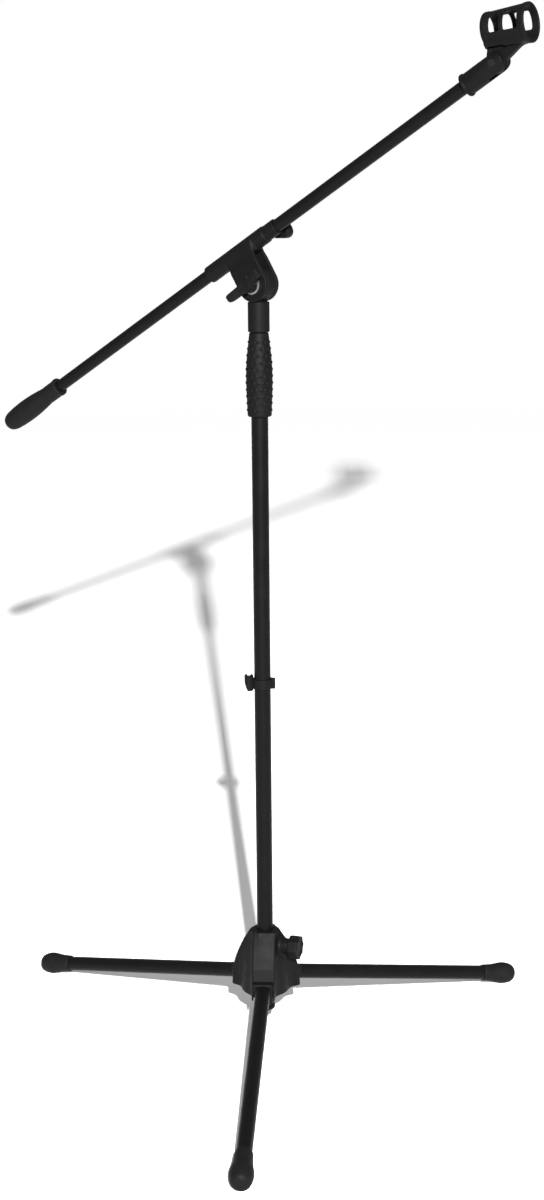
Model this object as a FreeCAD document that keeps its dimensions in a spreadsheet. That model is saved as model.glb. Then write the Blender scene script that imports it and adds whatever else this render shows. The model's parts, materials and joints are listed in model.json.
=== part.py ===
import FreeCAD, Part
import math
import os
import re
import Sketcher
from FreeCAD import Placement, Rotation, Vector

# Boom microphone stand on three folding legs.
# Millimetres. The origin is on the column's axis at floor level, +Z is up, the front leg
# points along -Y. The stand is posed as it stands in use: legs spread, column retracted,
# boom raised to the side.

# Driving dimensions, kept in the sheet called Sizes.
SIZES = {
    # base
    "leg_axis_height": 90.5,
    "leg_slope": 12.15,
    "leg_reach": 381.0,
    "leg_radius": 9.25,
    "leg_wall": 1.2,
    "hinge_reach": 25.0,
    "hinge_pin_radius": 3.0,
    "knuckle_half_width": 12.0,
    "knuckle_radius": 10.0,
    "knuckle_length": 45.0,
    "knuckle_spigot": 26.0,
    "foot_length": 48.0,
    "foot_radius": 14.0,
    "foot_neck_radius": 10.6,
    "foot_nose_radius": 8.5,
    "foot_nose_length": 15.0,
    "foot_tip_wall": 15.0,
    # leg housing
    "housing_bottom": 67.5,
    "housing_top": 148.5,
    "housing_skirt": 42.6,
    "housing_neck": 13.0,
    "arm_half_width": 14.6,
    "slot_half_width": 12.3,
    "slot_inner": 14.6,
    "slot_play": 0.4,
    "core_radius": 27.5,
    "core_waist": 20.5,
    "core_waist_height": 128.0,
    "core_pocket_inner": 13.0,
    "core_pocket_outer": 22.5,
    "core_pocket_depth": 30.0,
    # leg housing's lock knob
    "lock_height": 127.5,
    "lock_bearing": -16.0,
    "lock_boss_radius": 10.0,
    "lock_boss_reach": 32.5,
    "lock_screw_radius": 4.0,
    "lock_pad_thickness": 1.4,
    "lock_knob_radius": 15.2,
    "lock_knob_depth": 14.0,
    "lock_insert_radius": 6.5,
    "lock_insert_start": 15.0,
    "lock_insert_length": 9.0,
    # column
    "column_radius": 10.0,
    "column_bore": 9.0,
    "column_bottom": 45.0,
    "column_top": 852.0,
    "end_cap_radius": 11.7,
    "end_cap_flange": 5.0,
    "end_cap_spigot": 16.0,
    "running_gap": 0.06,
    # cable clip
    "clip_height": 468.0,
    "clip_band": 12.0,
    "clip_wall": 2.2,
    "clip_hook_radius": 5.6,
    "clip_hook_bore": 3.1,
    "clip_hook_offset": 16.6,
    "clip_hook_length": 20.0,
    "clip_mouth": 13.0,
    "clip_thumb": 5.0,
    # height clutch
    "grip_bottom": 794.5,
    "grip_top": 892.5,
    "grip_foot_radius": 14.3,
    "grip_belly_radius": 15.7,
    "grip_neck_radius": 11.4,
    "grip_bore": 12.3,
    "clutch_thread_radius": 12.0,
    "clutch_thread_bottom": 812.0,
    "collet_radius": 11.2,
    "collet_top": 872.0,
    "collet_slot": 1.6,
    # inner tube
    "inner_radius": 8.0,
    "inner_bore": 6.8,
    "inner_bottom": 330.0,
    "inner_top": 893.0,
    "bush_radius": 8.94,
    "bush_length": 20.0,
    "stud_radius": 4.7,
    "stud_plug": 24.0,
    "stud_length": 20.0,
    # swivel base
    "swivel_bottom": 893.3,
    "swivel_collar_top": 926.0,
    "swivel_collar_radius": 12.7,
    "swivel_insert_radius": 7.0,
    "swivel_insert_length": 22.0,
    "pivot_height": 948.0,
    "pivot_radius": 20.0,
    "pivot_half_width": 7.5,
    # boom clamp
    "boom_yaw": -30.0,
    "boom_rise": 31.0,
    "boom_offset": 43.4,
    "sleeve_radius": 10.2,
    "sleeve_back": -54.5,
    "sleeve_front": 40.0,
    "sleeve_neck_radius": 9.2,
    "sleeve_neck_end": 57.0,
    "ear_inner": 8.6,
    "ear_outer": 13.5,
    "ear_radius": 20.0,
    "saddle_bottom": 33.0,
    "bolt_radius": 4.0,
    "bolt_head_radius": 7.0,
    "bolt_head_length": 5.3,
    "bolt_end": -27.0,
    "friction_washer_radius": 17.0,
    "steel_washer_radius": 11.0,
    "steel_washer_thickness": 1.5,
    "wing_hub_radius": 8.0,
    "wing_hub_length": 15.0,
    "wing_reach": 27.0,
    "wing_height": 9.0,
    "wing_thickness": 8.0,
    "wing_turn": 188.0,
    # boom lock
    "boom_lock_at": 50.0,
    "boom_lock_boss": 13.0,
    "boom_lock_boss_radius": 6.5,
    "boom_lock_screw_radius": 3.0,
    "boom_lock_knob_radius": 14.0,
    "boom_lock_knob_depth": 12.0,
    # boom
    "boom_radius": 7.5,
    "boom_bore": 6.4,
    "boom_back": -405.0,
    "boom_front": 352.0,
    "boom_grip_front": -333.0,
    "boom_grip_collar": -357.0,
    "boom_grip_end": -437.5,
    "boom_grip_collar_radius": 11.0,
    "boom_grip_radius": 13.9,
    "boom_grip_tip_radius": 8.5,
    # microphone clip and its swivel
    "adapter_back": 339.0,
    "adapter_radius": 11.8,
    "adapter_flange_radius": 13.0,
    "adapter_hinge": 380.0,
    "adapter_slot": 4.2,
    "adapter_slot_start": 366.0,
    "adapter_insert_end": 364.0,
    "adapter_insert_radius": 7.0,
    "hinge_screw_radius": 2.5,
    "hinge_head_radius": 4.2,
    "hinge_head_length": 2.4,
    "hinge_head_sink": 1.0,
    "tongue_half_width": 3.9,
    "tongue_radius": 10.5,
    "clip_tilt": -25.0,
    "holder_height": 34.8,
    "holder_back": -7.6,
    "holder_front": 43.4,
    "holder_back_radius": 18.0,
    "holder_front_radius": 20.7,
    "holder_bore": 14.5,
    "holder_straight_bore": 9.4,
    "holder_mouth": 17.2,
    "holder_back_rim": 9.3,
    "holder_front_rim": 8.0,
    "holder_back_window": 12.2,
    "holder_bar": 4.4,
    "holder_window_low": -5.0,
    "holder_window_high": 13.5,
    "saddle_half_width": 9.0,
}

LEGS = {"front": -90.0, "right": 30.0, "left": 150.0}

doc = FreeCAD.newDocument("boom_microphone_stand")
sheet = doc.addObject("Spreadsheet::Sheet", "Sizes")
for row, (alias, number) in enumerate(SIZES.items(), start=1):
    sheet.set(f"A{row}", alias.replace("_", " "))
    sheet.set(f"B{row}", str(number))
    sheet.setAlias(f"B{row}", alias)
doc.recompute()

nodes = []


def formula(words):
    """Turns 'column_radius + 2' into an expression that reads the sheet."""
    return re.sub(r"[a-z_]{3,}", lambda m: f"Sizes.{m[0]}" if m[0] in SIZES else m[0], str(words))


def value(words):
    """The number that a formula gives."""
    result = sheet.evalExpression(formula(words))
    return float(getattr(result, "Value", result))


def bind(obj, prop, words):
    """Ties one property of an object to the sheet."""
    obj.setExpression(prop, formula(words))


def at(x=0, y=0, z=0, turn=None):
    """A placement from three formulas and a rotation."""
    return Placement(Vector(value(x), value(y), value(z)), turn or Rotation())


UPRIGHT = Rotation()
ALONG_X = Rotation(Vector(0, 1, 0), 90)
ALONG_Y = Rotation(Vector(1, 0, 0), -90)
ALONG_MINUS_Y = Rotation(Vector(1, 0, 0), 90)


def cylinder(name, radius, length, place=None):
    """A plain round bar along its own Z, bound to the sheet."""
    bar = doc.addObject("Part::Cylinder", name)
    bind(bar, "Radius", radius)
    bind(bar, "Height", length)
    bar.Placement = place or Placement()
    return bar


def box(name, length, width, height, place=None):
    """A block from its own corner, bound to the sheet."""
    block = doc.addObject("Part::Box", name)
    bind(block, "Length", length)
    bind(block, "Width", width)
    bind(block, "Height", height)
    block.Placement = place or Placement()
    return block


def fuse(name, *pieces):
    """Joins pieces into one solid."""
    joined = doc.addObject("Part::MultiFuse", name)
    joined.Shapes = list(pieces)
    joined.Refine = True
    return joined


def cut(name, base, *tools):
    """Takes tools away from a base, one after the other."""
    for number, tool in enumerate(tools, start=1):
        step = doc.addObject("Part::Cut", name if number == len(tools) else f"{name}_cut{number}")
        step.Base = base
        step.Tool = tool
        step.Refine = True
        base = step
    return base


def outline(body, plane, corners):
    """A closed sketch through corners, each held to its formulas from the sketch's origin."""
    sketch = body.newObject("Sketcher::SketchObject", body.Name + "_outline")
    origin_plane = next(f for f in body.Origin.OriginFeatures if f.Role == plane)
    sketch.AttachmentSupport = [(origin_plane, "")]
    sketch.MapMode = "FlatFace"
    points = [Vector(value(across), value(up), 0) for across, up in corners]
    for number, start in enumerate(points):
        sketch.addGeometry(Part.LineSegment(start, points[(number + 1) % len(points)]), False)
    for number in range(len(points)):
        following = (number + 1) % len(points)
        sketch.addConstraint(Sketcher.Constraint("Coincident", number, 2, following, 1))
    for number, corner in enumerate(corners):
        for kind, words, axis in (("DistanceX", corner[0], -2), ("DistanceY", corner[1], -1)):
            if value(words) == 0:
                sketch.addConstraint(Sketcher.Constraint("PointOnObject", number, 1, axis))
                continue
            held = Sketcher.Constraint(kind, -1, 1, number, 1, value(words))
            index = sketch.addConstraint(held)
            sketch.setExpression(f"Constraints[{index}]", formula(words))
    return sketch


def turned(name, corners, place=None):
    """A body turned about its own Z from (radius, height) corners."""
    body = doc.addObject("PartDesign::Body", name)
    sketch = outline(body, "XZ_Plane", corners)
    spin = body.newObject("PartDesign::Revolution", name + "_turned")
    spin.Profile = sketch
    spin.ReferenceAxis = (sketch, ["V_Axis"])
    spin.Angle = 360
    body.Placement = place or Placement()
    return body


def plate(name, corners, thickness, place=None):
    """A flat body in its own XZ plane, with its thickness shared about that plane."""
    body = doc.addObject("PartDesign::Body", name)
    sketch = outline(body, "XZ_Plane", corners)
    pad = body.newObject("PartDesign::Pad", name + "_pad")
    pad.Profile = sketch
    bind(pad, "Length", thickness)
    pad.Midplane = True
    body.Placement = place or Placement()
    return body


def node(obj, label, place=None):
    """Names a finished sub-part and puts it in its place in the stand."""
    obj.Label = label
    if place is not None:
        obj.Placement = place
    nodes.append(obj)
    return obj


def tube(name, outer, inner, length, place=None):
    """A round tube along its own Z."""
    wall = cylinder(name + "_outside", outer, length)
    hollow = cylinder(name + "_inside", inner, f"({length}) + 2", at(z=-1))
    made = cut(name, wall, hollow)
    made.Placement = place or Placement()
    return made


def lobed_knob(name, radius, depth, lobes, place=None):
    """A hand knob along its own Z: a disc with rounded lobes on its rim and a stepped collar."""
    parts = [cylinder(name + "_disc", f"{radius} * 0.8", depth)]
    for number in range(lobes):
        turn = math.radians(360 * number / lobes)
        out = value(f"{radius} * 0.68")
        seat = Placement(Vector(out * math.cos(turn), out * math.sin(turn), 0), Rotation())
        parts.append(cylinder(f"{name}_lobe{number + 1}", f"{radius} * 0.32", depth, seat))
    made = fuse(name, *parts)
    made.Placement = place or Placement()
    return made


# Legs -------------------------------------------------------------------------------------------

def leg_frame(bearing):
    """The frame of one leg: +X runs down the leg's axis from the column's axis."""
    turn = Rotation(Vector(0, 0, 1), bearing) * Rotation(Vector(0, 1, 0), value("leg_slope"))
    return Placement(Vector(0, 0, value("leg_axis_height")), turn)


def build_leg(side, bearing):
    """Hinge knuckle, tube and rubber foot of one leg."""
    frame = leg_frame(bearing)
    hinge = "hinge_reach / cos(leg_slope)"

    eye = cylinder(f"{side}_eye", "knuckle_radius", "2 * knuckle_half_width",
                   at(hinge, "-knuckle_half_width", 0, ALONG_Y))
    arm = box(f"{side}_arm", f"knuckle_length - ({hinge})", "2 * knuckle_half_width",
              "2 * knuckle_radius", at(hinge, "-knuckle_half_width", "-knuckle_radius"))
    spigot = cylinder(f"{side}_spigot", "leg_radius - leg_wall", "knuckle_spigot",
                      at("knuckle_length", 0, 0, ALONG_X))
    pin_hole = cylinder(f"{side}_pin_hole", "hinge_pin_radius + running_gap",
                        "2 * knuckle_half_width + 2",
                        at(hinge, "-knuckle_half_width - 1", 0, ALONG_Y))
    solid = fuse(f"{side}_knuckle_solid", eye, arm, spigot)
    knuckle = cut(f"{side}_knuckle", solid, pin_hole)
    node(knuckle, f"leg_knuckle_{side}", frame)

    pipe = tube(f"{side}_pipe", "leg_radius", "leg_radius - leg_wall",
                "leg_reach - foot_tip_wall - knuckle_length")
    node(pipe, f"leg_tube_{side}", frame * at("knuckle_length", 0, 0, ALONG_X))

    shoe = turned(f"{side}_shoe", [
        ("leg_radius", "leg_reach - foot_length"),
        ("foot_neck_radius - 0.8", "leg_reach - foot_length"),
        ("foot_neck_radius", "leg_reach - foot_length + 0.8"),
        ("foot_neck_radius + 0.5", "leg_reach - foot_length + 12"),
        ("foot_radius", "leg_reach - foot_nose_length - 6"),
        ("foot_radius", "leg_reach - foot_nose_length"),
        ("foot_radius - 1.2", "leg_reach - foot_nose_length + 7"),
        ("foot_nose_radius + 1.6", "leg_reach - 2"),
        ("foot_nose_radius - 1.5", "leg_reach"),
        (0, "leg_reach"),
        (0, "leg_reach - foot_tip_wall"),
        ("leg_radius", "leg_reach - foot_tip_wall"),
    ])
    shoe.Placement = frame * Placement(Vector(), ALONG_X)
    floor = box(f"{side}_floor", 1000, 1000, 50, at(-500, -500, -50))
    node(cut(f"{side}_foot", shoe, floor), f"rubber_foot_{side}")


# Leg housing ------------------------------------------------------------------------------------

def build_housing():
    """Moulded housing: a turned core, three hollow arms for the legs and a boss for the lock."""
    front_first = Rotation(Vector(0, 0, 1), LEGS["front"])
    core = turned("housing_core", [
        ("column_radius + running_gap", "housing_bottom"),
        ("core_radius", "housing_bottom"),
        ("core_radius", "leg_axis_height"),
        ("core_waist", "core_waist_height"),
        ("housing_neck", "housing_top"),
        ("column_radius + running_gap", "housing_top"),
    ])
    parts = [core]
    tools = []
    top_line = "leg_axis_height + (knuckle_radius + slot_play) / cos(leg_slope)"
    reach = "hinge_reach + 40"
    for side, bearing in LEGS.items():
        spin = Rotation(Vector(0, 0, 1), bearing)
        arm = plate(f"housing_arm_{side}", [
            ("column_radius + 1", "housing_bottom"),
            ("housing_skirt", "housing_bottom"),
            ("housing_skirt - 0.4", "housing_bottom + 12.5"),
            ("housing_skirt - 2", "housing_bottom + 26"),
            ("housing_skirt - 6", "housing_bottom + 40"),
            ("housing_skirt - 11.6", "housing_bottom + 53"),
            ("housing_skirt - 18.4", "housing_bottom + 66"),
            ("housing_neck + 4.8", "housing_top - 6"),
            ("housing_neck", "housing_top"),
            ("column_radius + 1", "housing_top"),
        ], "2 * arm_half_width", Placement(Vector(), spin))
        parts.append(arm)
        tools.append(plate(f"housing_slot_{side}", [
            ("slot_inner", "housing_bottom - 10"),
            (reach, "housing_bottom - 10"),
            (reach, f"{top_line} - ({reach}) * tan(leg_slope)"),
            ("slot_inner", f"{top_line} - slot_inner * tan(leg_slope)"),
        ], "2 * slot_half_width", Placement(Vector(), spin)))
        pin_seat = spin * Rotation(Vector(1, 0, 0), -90)
        foot = spin.multVec(Vector(value("hinge_reach"), -40, 0))
        foot.z = value("leg_axis_height - hinge_reach * tan(leg_slope)")
        tools.append(cylinder(f"housing_pin_hole_{side}", "hinge_pin_radius", 80,
                              Placement(foot, pin_seat)))
    lock_turn = Rotation(Vector(0, 0, 1), value("lock_bearing")) * ALONG_X
    boss_seat = Placement(Vector(0, 0, value("lock_height")), lock_turn)
    parts.append(cylinder("housing_boss", "lock_boss_radius", "lock_boss_reach", boss_seat))
    tools.append(turned("housing_pocket", [
        ("core_pocket_inner", "housing_bottom - 2"),
        ("core_pocket_outer", "housing_bottom - 2"),
        ("core_pocket_outer - 1", "housing_bottom + core_pocket_depth"),
        ("core_pocket_inner", "housing_bottom + core_pocket_depth"),
    ]))
    tools.append(cylinder("housing_bore", "column_radius + running_gap", 300))
    tools.append(cylinder("housing_screw_hole", "lock_screw_radius + running_gap", 60, boss_seat))
    insert_seat = boss_seat * at(0, 0, "lock_insert_start")
    tools.append(cylinder("housing_insert_hole", "lock_insert_radius", "lock_insert_length",
                          insert_seat))
    body = fuse("housing_solid", *parts)
    node(cut("housing", body, *tools), "leg_housing")

    insert = tube("lock_insert", "lock_insert_radius", "lock_screw_radius + running_gap",
                  "lock_insert_length")
    node(insert, "lock_thread_insert", insert_seat)
    pad = cylinder("lock_pad", "lock_screw_radius - 0.2", "lock_pad_thickness")
    node(pad, "lock_pad", boss_seat * at(0, 0, "column_radius + running_gap"))
    screw_start = "column_radius + running_gap + lock_pad_thickness + 0.05"
    screw = cylinder("lock_screw", "lock_screw_radius",
                     f"lock_boss_reach + lock_knob_depth * 0.6 - ({screw_start})")
    node(screw, "lock_screw", boss_seat * at(0, 0, screw_start))
    knob = lobed_knob("lock_knob_solid", "lock_knob_radius", "lock_knob_depth", 8,
                      at(0, 0, "lock_boss_reach + 0.3"))
    hole = cylinder("lock_knob_hole", "lock_screw_radius", "lock_boss_reach + lock_knob_depth * 0.6")
    node(cut("lock_knob", knob, hole), "lock_knob", boss_seat)

    pins = []
    for side, bearing in LEGS.items():
        spin = Rotation(Vector(0, 0, 1), bearing)
        seat = spin.multVec(Vector(value("hinge_reach"), value("-arm_half_width"), 0))
        seat.z = value("leg_axis_height - hinge_reach * tan(leg_slope)")
        pins.append(cylinder(f"hinge_pin_{side}", "hinge_pin_radius", "2 * arm_half_width",
                             Placement(seat, spin * ALONG_Y)))
    group = doc.addObject("Part::Compound", "hinge_pins")
    group.Links = pins
    node(group, "leg_hinge_pins")


# Column -----------------------------------------------------------------------------------------

def build_column():
    """Outer tube with its end cap, cable clip and height clutch."""
    pipe = tube("column_pipe", "column_radius", "column_bore", "column_top - column_bottom")
    node(pipe, "column_tube", at(0, 0, "column_bottom"))
    cap = turned("end_cap", [
        (0, "column_bottom - end_cap_flange"),
        ("end_cap_radius - 1.5", "column_bottom - end_cap_flange"),
        ("end_cap_radius", "column_bottom - end_cap_flange + 1.5"),
        ("end_cap_radius", "column_bottom"),
        ("column_bore", "column_bottom"),
        ("column_bore", "column_bottom + end_cap_spigot"),
        (0, "column_bottom + end_cap_spigot"),
    ])
    node(cap, "column_end_cap")

    thread = tube("clutch_thread", "clutch_thread_radius", "column_radius",
                  "column_top - clutch_thread_bottom")
    node(thread, "clutch_threaded_collar", at(0, 0, "clutch_thread_bottom"))
    ring = turned("collet_ring", [
        ("inner_radius + running_gap", "column_top"),
        ("collet_radius", "column_top"),
        ("collet_radius", "column_top + 8"),
        ("collet_radius - 1.6", "collet_top"),
        ("inner_radius + running_gap", "collet_top"),
    ])
    slits = []
    for number in range(3):
        turn = Rotation(Vector(0, 0, 1), 60 * number)
        corner = turn.multVec(Vector(-20, -value("collet_slot") / 2, 0))
        corner.z = value("column_top + 5")
        slits.append(box(f"collet_slit{number + 1}", 40, "collet_slot", 40, Placement(corner, turn)))
    node(cut("collet", ring, *slits), "clutch_collet")

    sleeve = turned("clutch_sleeve", [
        ("grip_bore", "grip_bottom"),
        ("grip_foot_radius - 1", "grip_bottom"),
        ("grip_foot_radius", "grip_bottom + 1"),
        ("grip_foot_radius + 0.8", "grip_bottom + 14"),
        ("grip_belly_radius", "grip_bottom + 34"),
        ("grip_belly_radius", "grip_bottom + 54"),
        ("grip_belly_radius - 1.2", "grip_bottom + 67"),
        ("grip_neck_radius", "grip_top"),
        ("inner_radius + 0.4", "grip_top"),
        ("inner_radius + 0.4", "collet_top + 6"),
        ("grip_bore", "column_top + 12"),
    ])
    node(sleeve, "clutch_grip")


def build_cable_clip():
    """Snap-on clip: an open band round the column with a cable hook on one side."""
    outer = "column_radius + clip_wall"
    band = cylinder("clip_band", outer, "clip_band", at(0, 0, "-clip_band / 2"))
    thumb = box("clip_thumb", f"{outer} + 2", "clip_thumb", "clip_band",
                at(2, "-clip_thumb / 2", "-clip_band / 2"))
    hook = cylinder("clip_hook", "clip_hook_radius", "clip_hook_length",
                    at("-clip_hook_offset", 0, "-clip_hook_length / 2"))
    arm = box("clip_arm", "clip_hook_offset - column_radius", 5, "clip_band",
              at("-clip_hook_offset + 1", -2.5, "-clip_band / 2"))
    body = fuse("clip_solid", band, thumb, hook, arm)
    bore = cylinder("clip_bore", "column_radius + running_gap", 60, at(0, 0, -30))
    mouth = box("clip_mouth", "clip_mouth", 40, 60, at("-clip_mouth / 2", 4, -30))
    cable = cylinder("clip_cable", "clip_hook_bore", 60, at("-clip_hook_offset", 0, -30))
    gap = box("clip_gap", "1.5 * clip_hook_bore", 40, 60,
              at("-clip_hook_offset - 0.75 * clip_hook_bore", 0, -30))
    node(cut("cable_clip_made", body, bore, mouth, cable, gap), "cable_clip",
         at(0, 0, "clip_height"))


def build_inner_tube():
    """Sliding inner tube with its guide bush and top stud."""
    pipe = tube("inner_pipe", "inner_radius", "inner_bore", "inner_top - inner_bottom")
    node(pipe, "inner_tube", at(0, 0, "inner_bottom"))
    bush = turned("guide_bush", [
        (0, "inner_bottom - 3"),
        ("bush_radius", "inner_bottom - 3"),
        ("bush_radius", "inner_bottom"),
        ("inner_bore", "inner_bottom"),
        ("inner_bore", "inner_bottom + bush_length"),
        (0, "inner_bottom + bush_length"),
    ])
    node(bush, "inner_tube_bush")
    stud = turned("top_stud", [
        (0, "inner_top - stud_plug"),
        ("inner_bore", "inner_top - stud_plug"),
        ("inner_bore", "inner_top"),
        ("stud_radius", "inner_top"),
        ("stud_radius", "inner_top + stud_length - 1"),
        ("stud_radius - 1", "inner_top + stud_length"),
        (0, "inner_top + stud_length"),
    ])
    node(stud, "inner_tube_stud")


# Boom head --------------------------------------------------------------------------------------

YAW = Rotation(Vector(0, 0, 1), value("boom_yaw"))
HEAD = Placement(Vector(0, 0, value("pivot_height")), YAW)
BOOM = HEAD * Placement(Vector(), Rotation(Vector(0, 1, 0), -value("boom_rise")))


def build_swivel():
    """Swivel base: a smooth collar on the stud and a round knuckle for the boom clamp."""
    low = "swivel_bottom - pivot_height"
    top = "swivel_collar_top - pivot_height"
    collar = cylinder("swivel_collar", "swivel_collar_radius", f"{top} - ({low})", at(0, 0, low))
    neck = box("swivel_neck", "2 * swivel_collar_radius - 1", "2 * pivot_half_width",
               f"0 - ({top})", at("0.5 - swivel_collar_radius", "-pivot_half_width", top))
    disc = cylinder("swivel_disc", "pivot_radius", "2 * pivot_half_width",
                    at(0, "-pivot_half_width", 0, ALONG_Y))
    body = fuse("swivel_solid", collar, neck, disc)
    insert_hole = cylinder("swivel_insert_hole", "swivel_insert_radius", "swivel_insert_length",
                           at(0, 0, low))
    bolt_hole = cylinder("swivel_bolt_hole", "bolt_radius + running_gap", 60, at(0, -30, 0, ALONG_Y))
    node(cut("swivel", body, insert_hole, bolt_hole), "swivel_base", HEAD)
    insert = tube("swivel_insert", "swivel_insert_radius", "stud_radius + running_gap",
                  "swivel_insert_length")
    node(insert, "swivel_thread_insert", HEAD * at(0, 0, low))
    washers = []
    for side, start in (("near", "-ear_inner + 0.1"), ("far", "pivot_half_width")):
        thick = "ear_inner - 0.1 - pivot_half_width"
        disc = cylinder(f"washer_{side}_disc", "friction_washer_radius", thick)
        hole = cylinder(f"washer_{side}_hole", "bolt_radius + running_gap", 10, at(0, 0, -5))
        ring = cut(f"washer_{side}", disc, hole)
        ring.Placement = HEAD * at(0, start, 0, ALONG_Y)
        washers.append(ring)
    group = doc.addObject("Part::Compound", "friction_washers")
    group.Links = washers
    node(group, "friction_washers")


def build_clamp():
    """Boom clamp: a sleeve round the boom over two ears that straddle the knuckle."""
    sleeve = cylinder("sleeve", "sleeve_radius", "sleeve_front - sleeve_back",
                      at("sleeve_back", 0, "boom_offset", ALONG_X))
    neck = cylinder("sleeve_neck", "sleeve_neck_radius", "sleeve_neck_end - sleeve_front + 4",
                    at("sleeve_front - 4", 0, "boom_offset", ALONG_X))
    saddle = box("saddle", "2 * ear_radius", "2 * ear_outer", "boom_offset - saddle_bottom",
                 at("-ear_radius", "-ear_outer", "saddle_bottom"))
    lock_boss = cylinder("lock_boss", "boom_lock_boss_radius", "boom_lock_boss",
                         at("boom_lock_at", 0, "boom_offset", ALONG_Y))
    parts = [sleeve, neck, saddle, lock_boss]
    for side, start in (("near", "-ear_outer"), ("far", "ear_inner")):
        thick = "ear_outer - ear_inner"
        parts.append(cylinder(f"ear_{side}_round", "ear_radius", thick, at(0, start, 0, ALONG_Y)))
        parts.append(box(f"ear_{side}_cheek", "2 * ear_radius", thick, "saddle_bottom + 1",
                         at("-ear_radius", start, 0)))
    body = fuse("clamp_solid", *parts)
    boom_hole = cylinder("clamp_boom_hole", "boom_radius + 0.05", 200,
                         at(-100, 0, "boom_offset", ALONG_X))
    bolt_hole = cylinder("clamp_bolt_hole", "bolt_radius", 60, at(0, -30, 0, ALONG_Y))
    screw_hole = cylinder("clamp_screw_hole", "boom_lock_screw_radius + running_gap", 60,
                          at("boom_lock_at", 0, "boom_offset", ALONG_Y))
    node(cut("clamp", body, boom_hole, bolt_hole, screw_hole), "boom_clamp", BOOM)

    shank = cylinder("bolt_shank", "bolt_radius", "ear_outer - bolt_end",
                     at(0, "bolt_end", 0, ALONG_Y))
    head = doc.addObject("Part::Prism", "bolt_head")
    head.Polygon = 6
    bind(head, "Circumradius", "bolt_head_radius")
    bind(head, "Height", "bolt_head_length")
    head.Placement = at(0, "ear_outer", 0, ALONG_Y)
    node(fuse("bolt", shank, head), "pivot_bolt", BOOM)
    washer = tube("steel_washer_ring", "steel_washer_radius", "bolt_radius",
                  "steel_washer_thickness")
    washer_seat = at(0, "-ear_outer - steel_washer_thickness", 0, ALONG_Y)
    node(washer, "pivot_steel_washer", BOOM * washer_seat)

    hub_start = "-ear_outer - steel_washer_thickness - 0.1"
    wing_frame = (BOOM * at(0, hub_start, 0, ALONG_MINUS_Y)
                  * Placement(Vector(), Rotation(Vector(0, 0, 1), value("wing_turn"))))
    hub = turned("wing_hub", [
        (0, 0),
        ("wing_hub_radius + 1", 0),
        ("wing_hub_radius", 3),
        ("wing_hub_radius - 0.6", "wing_hub_length - 1.5"),
        ("wing_hub_radius - 2", "wing_hub_length"),
        (0, "wing_hub_length"),
    ])
    wings = plate("wings", [
        ("-wing_hub_radius + 2", 2.5),
        ("wing_hub_radius - 2", 2.5),
        ("wing_reach - 3", "wing_height - 3"),
        ("wing_reach", "wing_height + 1"),
        ("wing_reach - 1", "wing_height + 10"),
        ("wing_reach - 5", "wing_height + 11"),
        ("wing_hub_radius", "wing_hub_length - 2"),
        ("-wing_hub_radius", "wing_hub_length - 2"),
        ("5 - wing_reach", "wing_height + 11"),
        ("1 - wing_reach", "wing_height + 10"),
        ("-wing_reach", "wing_height + 1"),
        ("3 - wing_reach", "wing_height - 3"),
    ], "wing_thickness")
    knob_solid = fuse("wing_solid", hub, wings)
    knob_hole = cylinder("wing_hole", "bolt_radius + running_gap", f"{hub_start} - bolt_end + 0.3",
                         at(0, 0, -0.1))
    node(cut("wing", knob_solid, knob_hole), "pivot_wing_knob", wing_frame)

    pad = cylinder("boom_pad", "boom_lock_screw_radius", 1.2)
    lock_seat = BOOM * at("boom_lock_at", "boom_radius + 0.05", "boom_offset", ALONG_Y)
    node(pad, "boom_lock_pad", lock_seat)
    screw = cylinder("boom_screw", "boom_lock_screw_radius",
                     "boom_lock_boss - boom_radius + boom_lock_knob_depth * 0.6")
    node(screw, "boom_lock_screw", lock_seat * at(0, 0, 1.25))
    grip = lobed_knob("boom_knob_solid", "boom_lock_knob_radius", "boom_lock_knob_depth", 3,
                      at(0, 0, "boom_lock_boss - boom_radius + 0.25"))
    hole = cylinder("boom_knob_hole", "boom_lock_screw_radius",
                    "1.25 + boom_lock_boss - boom_radius + boom_lock_knob_depth * 0.6")
    node(cut("boom_knob", grip, hole), "boom_lock_knob", lock_seat)


def build_boom():
    """Boom tube with its rear hand grip and front stud."""
    seat = BOOM * at(0, 0, "boom_offset", ALONG_X)
    pipe = tube("boom_pipe", "boom_radius", "boom_bore", "boom_front - boom_back")
    node(pipe, "boom_tube", seat * at(0, 0, "boom_back"))
    grip = turned("boom_handle", [
        ("boom_radius", "boom_grip_front"),
        ("boom_grip_collar_radius - 0.8", "boom_grip_front"),
        ("boom_grip_collar_radius", "boom_grip_front - 0.8"),
        ("boom_grip_collar_radius", "boom_grip_collar"),
        ("boom_grip_radius - 0.9", "boom_grip_collar - 18"),
        ("boom_grip_radius", "boom_grip_collar - 36"),
        ("boom_grip_radius - 0.4", "boom_grip_collar - 54"),
        ("boom_grip_radius - 2.2", "boom_grip_end + 9"),
        ("boom_grip_tip_radius + 0.4", "boom_grip_end + 2.6"),
        ("boom_grip_tip_radius - 3.5", "boom_grip_end"),
        (0, "boom_grip_end"),
        (0, "boom_back"),
        ("boom_radius", "boom_back"),
    ])
    node(grip, "boom_grip", seat)
    stud = turned("boom_stud", [
        (0, "boom_front - stud_plug"),
        ("boom_bore", "boom_front - stud_plug"),
        ("boom_bore", "boom_front"),
        ("stud_radius", "boom_front"),
        ("stud_radius", "adapter_insert_end - 3"),
        ("stud_radius - 1", "adapter_insert_end - 2"),
        (0, "adapter_insert_end - 2"),
    ])
    node(stud, "boom_end_stud", seat)


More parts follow.
